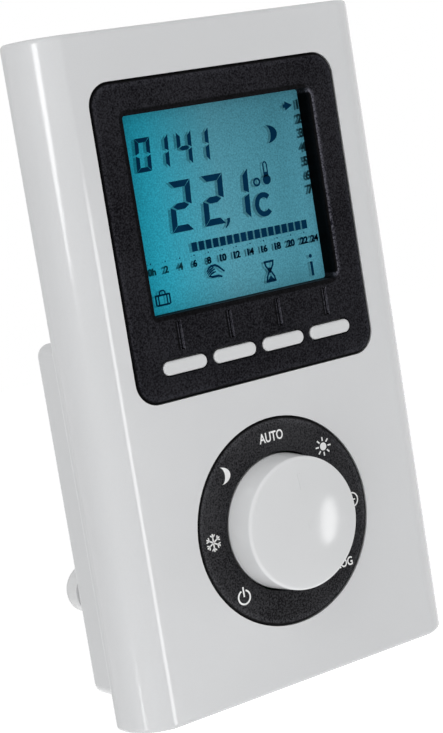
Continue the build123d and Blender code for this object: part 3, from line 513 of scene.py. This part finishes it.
moon = [crescent((13.2, 16.4), 3.7, 1.15, 2.78)]
tube_path = [
    (11.2, 8.0), (11.2, 10.5), (11.35, 10.9), (11.65, 11.05), (11.95, 10.9), (12.1, 10.5), (12.1, 8.0)
]
thermometer = [disc((11.65, 7.42), 1.0), bar((11.65, 8.1), (11.65, 9.0), 0.6), ribbon(tube_path, 0.3)]
day_arrow = [ribbon([(18.5, 21.45), (19.0, 21.45), (19.05, 21.45), (20.8, 21.45)], [0.7, 0.7, 1.9, 0.1])]
shell_path = [
    (-19.4, -11.0), (-19.4, -12.8), (-19.15, -12.9), (-16.35, -12.9), (-16.1, -12.8), (-16.1, -11.0)
]
grip_path = [
    (-18.4, -10.9), (-18.35, -10.35), (-18.05, -10.1), (-17.4, -10.1), (-17.1, -10.35), (-17.05, -10.9)
]
suitcase = [
    ribbon(shell_path, 0.36),
    bar((-19.55, -10.95), (-15.95, -10.95), 0.36),
    bar((-18.75, -10.95), (-18.75, -12.85), 0.3),
    bar((-16.75, -10.95), (-16.75, -12.85), 0.3),
    ribbon(grip_path, 0.34),
]
back_path = [(-6.5, -8.45), (-5.9, -7.75), (-5.3, -7.42), (-4.3, -7.38), (-3.6, -7.75), (-2.25, -8.98)]
hand = [
    ribbon(back_path, [0.22, 0.38, 0.46, 0.48, 0.44, 0.35]),
    ribbon([(-6.45, -8.8), (-5.7, -8.15), (-4.75, -7.75)], [0.18, 0.38, 0.32]),
    ribbon([(-6.3, -9.1), (-5.5, -8.5), (-4.5, -8.1)], [0.18, 0.38, 0.28]),
    ribbon([(-6.1, -9.4), (-5.5, -9.0), (-4.9, -8.75), (-4.3, -8.7)], [0.18, 0.36, 0.38, 0.18]),
    ribbon([(-6.15, -9.35), (-5.3, -9.6), (-3.7, -9.6), (-2.95, -9.95)], [0.22, 0.48, 0.48, 0.35]),
]
left_glass = [(7.85, -9.0), (7.95, -9.7), (8.65, -10.75), (8.65, -10.95), (7.95, -12.1), (7.85, -12.9)]
right_glass = [(9.9, -9.0), (9.8, -9.7), (9.1, -10.75), (9.1, -10.95), (9.8, -12.1), (9.9, -12.9)]
hourglass = [
    bar((7.6, -8.95), (10.15, -8.95), 0.44),
    bar((7.6, -12.95), (10.15, -12.95), 0.44),
    ribbon(left_glass, 0.4),
    ribbon(right_glass, 0.4),
    ribbon([(8.87, -10.2), (8.87, -11.0), (8.87, -11.3)], [1.0, 0.5, 0.3]),
    ribbon([(8.87, -11.9), (8.87, -12.3), (8.87, -12.85)], [0.2, 0.9, 1.9]),
]
info_letter = [
    disc((19.6, -9.65), 0.4),
    bar((19.6, -10.8), (19.6, -13.75), 0.64),
    bar((19.25, -10.95), (19.55, -10.95), 0.32),
]
icon_marks = moon + thermometer + day_arrow + suitcase + hand + hourglass + info_letter

block_start, block_pitch, block_foot, block_head, block_width = -8.45, 1.735, -3.9, -2.1, 1.33
block_places = [block_start + block_pitch * k for k in range(17)]
scale_marks = [bar((x, block_foot), (x, block_head), block_width) for x in block_places]
scale_start, dot_pitch, hour_pitch, last_hour = -19.3, 3.47, 3.45, 21.35
scale_marks += [disc((scale_start + dot_pitch * k, -4.6), 0.16, 10) for k in range(12)]
hour_labels = ["0h"] + [str(2 * hour) for hour in range(1, 13)]
hour_places = [min(scale_start + hour_pitch * k, last_hour) for k in range(13)]
day_x, first_day, day_pitch = 22.2, 21.4, 2.92
dim_hours = 3
faint_marks = []
for strike in (-0.06, 0.06):
    hour_marks = [
        lettering(label, 1.45, (x + strike, -6.2), 0.035) for label, x in zip(hour_labels, hour_places)
    ]
    faint_marks += hour_marks[:dim_hours]
    scale_marks += hour_marks[dim_hours:]
    faint_marks += [
        lettering(str(day + 1), 1.95, (day_x + strike, first_day - day_pitch * day), 0.04) for day in range(7)
    ]

segment_ink = moulded_plastic(
    "segment_ink", (0.0012, 0.022, 0.056), (0.002, 0.030, 0.074), (0.4, 0.5),
    skin=(160, 2000, 6000), depth=1e-6, specular=0.0,
)
glass_front = glass_low.y
mark_rise, shadow_rise, mark_thickness = 2.0e-5, 1.0e-5, 6e-6
shadow_throw = (-0.7, -0.08)
for name, patches, ink, level in (
    ("display_digits", digit_marks, segment_ink, 0.58),
    ("display_icons", icon_marks, segment_ink, 0.68),
    ("display_scale", scale_marks, segment_ink, 0.62),
    ("display_faint", faint_marks, lit_pane("faint_ink", 0.2), 0.62),
):
    marks = printed_marks(name, patches, glass_front - mark_rise, frame_z, mark_thickness)
    marks.data.materials.append(ink)
    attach(marks, "unit")
    thrown = [(points + shadow_throw, faces) for points, faces in patches]
    shadow = printed_marks(name + "_shadow", thrown, glass_front - shadow_rise, frame_z, mark_thickness)
    shadow.data.materials.append(lit_pane(name + "_shade", level))
    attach(shadow, "unit")

# Display frame: a black ABS insert with a fine spark-eroded grain, pushed into the cover from
# behind. Its deep window wall reaches back to the glass, and it carries the four keys.
frame_black = moulded_plastic(
    "spark_grain_black", (0.0, 0.0, 0.001), (0.036, 0.036, 0.043), (0.5, 0.66),
    skin=(60, 1600, 2800), depth=1.4e-5, specular=0.04, speckle=3.0,
)
frame_half, frame_corner = (0.02945, 0.0312), 0.0047
window_corner, window_z = 0.0006, frame_z + 0.0049


def shade_black(material, value, span, greys):
    """Multiplies a black's colour by a ramp of (position, grey) along a value's span. This paints light and
    shade: darker greys are painted shade, paler ones painted highlights."""
    tree = material.node_tree
    shader = tree.nodes["Principled BSDF"]
    stops = [(position, (grey, grey, grey)) for position, grey in greys]
    factors = {
        0: shader.inputs["Base Color"].links[0].from_socket,
        1: ramp(tree, carry(tree, value, span), stops),
    }
    product = place(tree, "ShaderNodeVectorMath", factors, operation="MULTIPLY")
    feed(tree, shader, {"Base Color": product.outputs[0]})


def from_middle(tree, middle):
    """Vector to the shaded spot from a middle (X, Z), with the depth left out."""
    spot = place(tree, "ShaderNodeTexCoord").outputs["Object"]
    moved = {"Vector": spot, "Location": (-middle[0], 0, -middle[1]), "Scale": (1, 0, 1)}
    return place(tree, "ShaderNodeMapping", moved).outputs[0]


def inside_outline(tree, middle, half, radius):
    """Distance in from the outline of a rectangle with round corners: the corner radius less
    the length of the positive part of |p| - half + radius, or less its larger part where both
    are negative."""
    corner = (half[0] - radius, 0, half[1] - radius)
    mirrored = place(tree, "ShaderNodeVectorMath", {0: from_middle(tree, middle)}, operation="ABSOLUTE")
    past = place(tree, "ShaderNodeVectorMath", {0: mirrored.outputs[0], 1: corner}, operation="SUBTRACT")
    positive = {0: past.outputs[0], 1: (0, 0, 0)}
    round_part = place(tree, "ShaderNodeVectorMath", positive, operation="MAXIMUM")
    reach = place(tree, "ShaderNodeVectorMath", {0: round_part.outputs[0]}, operation="LENGTH")
    split = place(tree, "ShaderNodeSeparateXYZ", {0: past.outputs[0]}).outputs
    flat_part = reckon(tree, "MINIMUM", reckon(tree, "MAXIMUM", split["X"], split["Z"]), 0.0)
    return reckon(tree, "SUBTRACT", radius, reckon(tree, "ADD", reach.outputs["Value"], flat_part))


groove_x, groove_pitch, groove_z, groove_half = 0.0065, 0.0121, frame_z - 0.01903, 0.0029
groove_reach = 0.001


def along_grooves(tree):
    """Distance to the right of the nearest groove's middle line, or minus the reach above and
    below the grooves, which stand over the keys at their pitch."""
    axes = spot_axes(tree)
    from_third = reckon(tree, "SUBTRACT", axes["X"], groove_x)
    aside = reckon(tree, "WRAP", from_third, groove_pitch / 2, -groove_pitch / 2)
    beside = reckon(tree, "COMPARE", axes["Z"], groove_z, groove_half)
    return reckon(tree, "MULTIPLY_ADD", reckon(tree, "ADD", aside, groove_reach), beside, -groove_reach)


# Greys are shares of the grain's tone, and they paint light and shade. A groove gets painted shade on its
# left wall and floor and painted highlights on its floor edge and right edge. The window's edge gets painted
# shade, with a painted highlight outside it at the right.
groove_shade_and_glint = (
    (0.0, 1.0), (0.06, 1.0), (0.08, 0.25), (0.475, 0.3), (0.51, 4.0), (0.59, 4.0), (0.625, 0.2),
    (0.75, 0.2), (0.77, 5.5), (0.815, 5.5), (0.835, 1.0),
)
rim_shade_and_light = ((0.0, 0.06), (0.18, 0.06), (0.3, 0.95), (0.48, 0.9), (0.8, 0.62))
wall_painted_shade = ((0.0, 1.0), (1.0, 0.2))
edge_painted_shade = ((0.0, 1.0), (0.02, 0.2), (0.62, 0.25), (0.85, 1.0))
right_shade_and_highlight = ((0.0, 0.15), (0.21, 0.2), (0.33, 6.0), (0.46, 5.2), (0.72, 1.5), (1.0, 1.0))
rim_reach, edge_reach, right_reach = 0.002, 0.0013, 0.0017
wall_span = (frame_low.y + 0.0008, frame_low.y + 0.0015)

# Two outlines share the window's edge: one at the left, top and bottom, the other at the right.
# Their other sides are drawn in, so that what they shade there falls in the open window.
drawn_in = 0.0012
outline_x, outline_half = drawn_in / 2, window_half[0] - drawn_in / 2
frame_tree = frame_black.node_tree
frame_rim = inside_outline(frame_tree, (0, frame_z), frame_half, frame_corner)
window_rim = inside_outline(frame_tree, (-outline_x, window_z), (outline_half, window_half[1]), window_corner)
right_size = (outline_half, window_half[1] - drawn_in)
right_rim = inside_outline(frame_tree, (outline_x, window_z), right_size, window_corner)
# Painted light and shade on the frame: a dark line at its rim with a paler band inside it, painted shade
# along the window's edge and down its deep wall, a painted highlight beside the window's right edge, and
# painted shade and highlights in the grooves.
shade_black(frame_black, frame_rim, (0.0, rim_reach), rim_shade_and_light)
shade_black(frame_black, window_rim, (0.0, -edge_reach), edge_painted_shade)
shade_black(frame_black, right_rim, (0.0, -right_reach), right_shade_and_highlight)
shade_black(frame_black, spot_axes(frame_tree)["Y"], wall_span, wall_painted_shade)
shade_black(frame_black, along_grooves(frame_tree), (-groove_reach, groove_reach), groove_shade_and_glint)
dress(frame_black, "display_bezel")

# Keys: four white pills with rounded tops and a flange behind the frame, in a satin plastic
# that is duller than the cover's.
key_white = moulded_plastic(
    "key_white", (0.60, 0.607, 0.615), (0.612, 0.619, 0.627), (0.28, 0.34),
    skin=(50, 900, 4800), depth=0.3e-6, speckle=0.1,
)
dress(key_white, "button_1", "button_2", "button_3", "button_4")

# Dial ring: a black insert like the display frame, with painted shade at its rim and a painted highlight on a
# band just inside it. Seven pad-printed marks stand round it, one for each stop of the selector.
ring_low, ring_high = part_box("dial_ring")
dial_z = (ring_low.z + ring_high.z) / 2
ring_rim = 0.0212
ring_black = moulded_plastic(
    "dial_ring_black", (0.0, 0.0, 0.001), (0.070, 0.070, 0.076), (0.45, 0.6),
    skin=(60, 1600, 2800), depth=1.4e-5, specular=0.06, speckle=3.0,
)
ring_tree = ring_black.node_tree
ring_spot = from_middle(ring_tree, (0, dial_z))
ring_radius = place(ring_tree, "ShaderNodeVectorMath", {0: ring_spot}, operation="LENGTH")
# Painted shade at the ring's rim and a painted highlight on the band inside it.
shade_black(ring_black, ring_radius.outputs["Value"], (ring_rim, ring_rim - rim_reach), rim_shade_and_light)
dress(ring_black, "dial_ring")


def spokes(middle, inner, outer, count, width):
    """Straight ribbons from the inner to the outer radius, at even angles."""
    angles = np.radians(90 + np.arange(count) * 360 / count)
    rays = np.stack([np.cos(angles), np.sin(angles)], axis=1)
    return [bar(middle + ray * inner, middle + ray * outer, width) for ray in rays]


def snow_crystal(middle, reach, width):
    """Six arms, each with two short, thinner barbs that lean outwards to both sides."""
    barb_root, barb_length, barb_lean, barb_share = 0.58, 0.42, 0.8, 0.85
    patches = spokes(middle, 0, reach, 6, width)
    for angle in np.radians(90 + np.arange(6) * 60):
        root = middle + barb_root * reach * np.array([np.cos(angle), np.sin(angle)])
        for turn in (angle - barb_lean, angle + barb_lean):
            tip = root + barb_length * reach * np.array([np.cos(turn), np.sin(turn)])
            patches.append(bar(root, tip, width * barb_share))
    return patches


crystal_middle, off_middle, sun_middle = np.array((-17.85, 0.0)), (-12.7, -12.55), np.array((12.45, 12.55))
ring_marks = [
    lettering("AUTO", 2.05, (-0.1, 17.5), 0.02, 5.95),
    lettering("PROG", 1.85, (12.7, -12.3), 0.02, 5.35),
    crescent((-13.75, 12.45), 3.5, 1.15, 2.45),
]
ring_marks += snow_crystal(crystal_middle, 1.8, 0.3)
ring_marks += [arc(off_middle, (1.42, 1.42), (112, 428), 0.36), bar((-12.7, -12.5), (-12.7, -10.45), 0.36)]
ring_marks += [disc(sun_middle, 0.82)] + spokes(sun_middle, 1.15, 1.95, 8, 0.32)
clock_face = arc((17.7, 0.0), (1.45, 1.45), (0, 360), 0.29)
ring_marks += [clock_face, bar((17.7, -0.1), (17.7, 0.95), 0.26), bar((17.6, 0.0), (18.5, 0.0), 0.26)]
print_white = moulded_plastic(
    "pad_print_white", (0.74, 0.74, 0.74), (0.84, 0.84, 0.84), (0.4, 0.55), skin=(400, 2500, 7000), depth=2e-6
)
print_rise, print_thickness = 1.2e-5, 1.0e-5
symbols = printed_marks("dial_symbols", ring_marks, ring_low.y - print_rise, dial_z, print_thickness)
symbols.data.materials.append(print_white)
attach(symbols, "unit")

# Front cover: one deep moulding in polished white ABS. Its sides lean back from a soft crease
# and sweep round to the rear shell, whose lip plugs into it and which two screws hold.
cover_white = moulded_plastic(
    "cover_white", (0.595, 0.602, 0.612), (0.63, 0.637, 0.647), (0.12, 0.15),
    skin=(14, 420, 3600), depth=0.25e-6,
)
cover_half, bend_width, bend_out, bend_back = 0.0403, 0.007, 0.00214, 0.00726
crease_radius, crease_start, crease_end = 0.003, 0.03285, 0.03373
same_face = 0.95


def follow_plan_curve(material):
    """Exact normals for the two swept sides, in place of the mesh's averaged ones. With x the
    distance from the middle and s the root of (half width - x) / bend width, the side's normal
    is (s * out + (1 - s) * back, -s * bend width); on the crease its x grows evenly to the side.
    The mesh's own tilt in Z stays, and faces that look elsewhere keep the mesh's normal."""
    tree = material.node_tree

    def rest_of(part):
        """Root of 1 - part squared: the other part of a normal."""
        less = reckon(tree, "MULTIPLY", part, -1.0)
        return reckon(tree, "SQRT", reckon(tree, "MULTIPLY_ADD", part, less, 1.0))

    def choose(share, first, second):
        """First or second vector, for a share of 0 or 1."""
        vectors = {0: share, 4: first, 5: second}
        return place(tree, "ShaderNodeMix", vectors, data_type="VECTOR").outputs[1]

    across = spot_axes(tree)["X"]
    aside = reckon(tree, "ABSOLUTE", across)
    hand_side = reckon(tree, "SIGN", across)
    near = reckon(tree, "MAXIMUM", reckon(tree, "SUBTRACT", cover_half, aside), 0.0)
    root = reckon(tree, "SQRT", reckon(tree, "MINIMUM", reckon(tree, "DIVIDE", near, bend_width), 1.0))
    lean = reckon(tree, "MULTIPLY_ADD", root, bend_out - bend_back, bend_back)
    side_x = reckon(tree, "MULTIPLY", hand_side, lean)
    side_y = reckon(tree, "MULTIPLY", root, -bend_width)
    side = place(tree, "ShaderNodeCombineXYZ", {0: side_x, 1: side_y}).outputs[0]
    swept = place(tree, "ShaderNodeVectorMath", {0: side}, operation="NORMALIZE").outputs[0]
    turn = reckon(tree, "DIVIDE", reckon(tree, "SUBTRACT", aside, crease_start), crease_radius)
    turn = reckon(tree, "MINIMUM", reckon(tree, "MAXIMUM", turn, 0.0), 1.0)
    crease_x = reckon(tree, "MULTIPLY", hand_side, turn)
    crease_y = reckon(tree, "MULTIPLY", rest_of(turn), -1.0)
    creased = place(tree, "ShaderNodeCombineXYZ", {0: crease_x, 1: crease_y}).outputs[0]
    level = choose(reckon(tree, "GREATER_THAN", aside, crease_end), creased, swept)
    mesh_normal = place(tree, "ShaderNodeTexCoord").outputs["Normal"]
    tilt = place(tree, "ShaderNodeSeparateXYZ", {0: mesh_normal}).outputs["Z"]
    shortened = {0: level, "Scale": rest_of(tilt)}
    flat = place(tree, "ShaderNodeVectorMath", shortened, operation="SCALE").outputs[0]
    upright = place(tree, "ShaderNodeCombineXYZ", {2: tilt}).outputs[0]
    tilted = place(tree, "ShaderNodeVectorMath", {0: flat, 1: upright}, operation="ADD").outputs[0]
    agree = place(tree, "ShaderNodeVectorMath", {0: tilted, 1: mesh_normal}, operation="DOT_PRODUCT")
    outer_face = reckon(tree, "GREATER_THAN", agree.outputs["Value"], same_face)
    past_crease = reckon(tree, "GREATER_THAN", aside, crease_start)
    exact = choose(reckon(tree, "MULTIPLY", outer_face, past_crease), mesh_normal, tilted)
    spaces = {"vector_type": "NORMAL", "convert_from": "OBJECT", "convert_to": "WORLD"}
    world = place(tree, "ShaderNodeVectorTransform", {0: exact}, **spaces)
    relief = next(node for node in tree.nodes if node.bl_idname == "ShaderNodeBump")
    feed(tree, relief, {"Normal": world.outputs[0]})


follow_plan_curve(cover_white)
dress(cover_white, "front_cover")

# Selector knob: a hollow white moulding with a tapered side, a rounded rim and a polished
# dome. It is pressed on the flatted shaft of the switch, and a raised line points to the stop.
knob_white = moulded_plastic(
    "knob_white", (0.607, 0.614, 0.622), (0.63, 0.637, 0.645), (0.1, 0.14), skin=(24, 520, 3800), depth=0.3e-6
)
dress(knob_white, "knob")

# Screws: zinc-plated steel, six short ones through the board into the cover's bosses and two
# longer ones from behind that close the case.
zinc = bare_metal("zinc_plate", (0.40, 0.40, 0.42), (0.56, 0.56, 0.58), (0.26, 0.42), 3000, 3e-6)
dress(zinc, "board_screws", "case_screws")

# Studio: a wide floor below the set and an even sky, both white to the camera and in gloss.
# Soft boxes all round light the set, two lamps fill only the knob, and narrow lamps show only
# in the gloss of one piece. The set hangs as it would on a wall that isn't shown.
floor_reach, floor_height = 4, -0.5
floor_side = np.linspace(-floor_reach, floor_reach, 2)
floor_x, floor_y = np.meshgrid(floor_side, floor_side, indexing="ij")
floor_points = np.stack([floor_x, floor_y, np.full_like(floor_x, floor_height)], axis=-1).reshape(-1, 3)
floor_mesh = bpy.data.meshes.new("floor")
floor_mesh.from_pydata(floor_points.tolist(), [], [[0, 2, 3, 1]])
floor = bpy.data.objects.new("floor", floor_mesh)
bpy.context.scene.collection.objects.link(floor)
sky = bpy.data.worlds.new("studio_sky")
sky.use_nodes = True
bpy.context.scene.world = sky


def seen_rays(tree):
    """1 for rays of the camera, of gloss and of glass, and 0 for the rays that light things."""
    path = place(tree, "ShaderNodeLightPath").outputs
    total = path["Is Camera Ray"]
    for name in ("Is Glossy Ray", "Is Transmission Ray"):
        more = place(tree, "ShaderNodeMath", {0: total, 1: path[name]}, operation="ADD", use_clamp=True)
        total = more.outputs[0]
    return total


floor_glow, sky_lights, sky_shows = 0.78, 0.25, 1.0
floor_paint, floor_tree, floor_shader = new_material("white_floor")
floor_looks = {
    "Base Color": (0.97, 0.97, 0.97, 1),
    "Roughness": 0.9,
    "Specular IOR Level": 0.0,
    "Emission Color": (1, 1, 1, 1),
    "Emission Strength": carry(floor_tree, seen_rays(floor_tree), (0.0, 1.0), (0.0, floor_glow)),
}
feed(floor_tree, floor_shader, floor_looks)
floor_mesh.materials.append(floor_paint)
sky_tree = sky.node_tree
sky_level = carry(sky_tree, seen_rays(sky_tree), (0.0, 1.0), (sky_lights, sky_shows))
feed(sky_tree, sky_tree.nodes["Background"], {"Color": (1, 1, 1, 1), "Strength": sky_level})


def stand(axes, spot):
    """Matrix of an object from its three axes, as columns, and its place."""
    return Matrix(np.block([[axes, spot[:, None]], [np.zeros((1, 3)), np.ones((1, 1))]]).tolist())


def soft_box(
    name, azimuth, distance, heights, width, level,
    elevation=0, lean=0, shape="RECTANGLE", shows_on=None, fills=None,
):
    """Lamp that faces the set: azimuth counts to the right of its front, elevation upwards,
    heights are those of its low and high edge before it leans to the right, and level counts in
    whites of the sky. It lights the set, or fills one piece, or only shows in one's gloss."""
    turn, rise, tip = np.radians((azimuth, elevation, lean))
    tall = heights[1] - heights[0]
    lamp = bpy.data.lights.new(name, "AREA")
    lamp.shape = shape
    lamp.size = width
    lamp.size_y = tall
    lamp.energy = level * np.pi * width * tall * (np.pi / 4 if shape == "ELLIPSE" else 1)
    holder = bpy.data.objects.new(name, lamp)
    bpy.context.scene.collection.objects.link(holder)
    back = np.array((np.cos(rise) * np.sin(turn), -np.cos(rise) * np.cos(turn), np.sin(rise)))
    side = np.array((np.cos(turn), np.sin(turn), 0.0))
    upper = np.cross(back, side)
    leaning_side = np.cos(tip) * side - np.sin(tip) * upper
    leaning_upper = np.sin(tip) * side + np.cos(tip) * upper
    axes = np.stack([leaning_side, leaning_upper, back], axis=1)
    holder.matrix_world = stand(axes, back * distance + upper * sum(heights) / 2)
    holder.visible_camera = False
    holder.visible_diffuse = shows_on is None
    holder.visible_glossy = shows_on is not None
    if shows_on or fills:
        reached = bpy.data.collections.new(name + "_reaches")
        reached.objects.link(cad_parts[shows_on or fills])
        holder.light_linking.receiver_collection = reached


soft_box("box_left", azimuth=-62, distance=0.9, heights=(-0.4, 0.4), width=0.6, level=1.48)
soft_box("box_right", azimuth=80, distance=0.9, heights=(-0.4, 0.4), width=0.6, level=1.9)
soft_box("box_front", azimuth=18, distance=1.0, heights=(-0.3, 0.6), width=0.7, level=1.45)
soft_box("box_back", azimuth=180, distance=1.0, heights=(-0.3, 0.6), width=0.7, level=3.2)
soft_box("box_above", azimuth=-55, distance=0.9, heights=(-0.3, 0.3), width=0.6, level=2.7, elevation=58)
soft_box("box_below", azimuth=-60, distance=0.7, heights=(-0.2, 0.2), width=0.6, level=1.4, elevation=-25)
for rise in (80, -80):
    soft_box("fill_knob", -90, 0.35, (-0.1, 0.1), width=0.2, level=4.0, elevation=rise, fills="knob")
gloss_distance = 0.55
for top in (0.025, 0.045, 0.062):
    soft_box("strip_front", 12, gloss_distance, (-0.3, top), width=0.24, level=4.6, shows_on="front_cover")
for grow in (0.0, 0.03, 0.06):
    soft_box(
        "strip_left", -57.2, gloss_distance, (0.052 - grow / 2, 0.25), width=0.05 + grow, level=7.2,
        lean=30, shape="ELLIPSE", shows_on="front_cover",
    )
soft_box(
    "strip_low_left", -69.5, gloss_distance, (-0.27, -0.162), width=0.06, level=6.0,
    lean=10, shows_on="front_cover",
)
soft_box(
    "lamp_right", 43.3, gloss_distance, (-0.18, -0.05), width=0.075, level=5.6,
    lean=4, shape="ELLIPSE", shows_on="knob",
)

# Camera: stands to the left of the set, a little above its middle, and is turned about its own
# axis so that the set leans as in the photograph.
camera_lens = bpy.data.cameras.new("camera")
camera_lens.lens = 96.06
camera_lens.sensor_width = 36.0
camera_lens.clip_start = 0.01
camera = bpy.data.objects.new("camera", camera_lens)
bpy.context.scene.collection.objects.link(camera)
camera_right = np.array((0.8054, -0.5709, -0.1592))
camera_down = np.array((-0.2022, -0.0122, -0.9793))
camera_ahead = np.array((0.5572, 0.8209, -0.1252))
camera_place = np.array((-0.22445, -0.34429, 0.09013))
camera.matrix_world = stand(np.stack([camera_right, -camera_down, -camera_ahead], axis=1), camera_place)
bpy.context.scene.camera = camera
bpy.context.scene.view_settings.view_transform = "Standard"
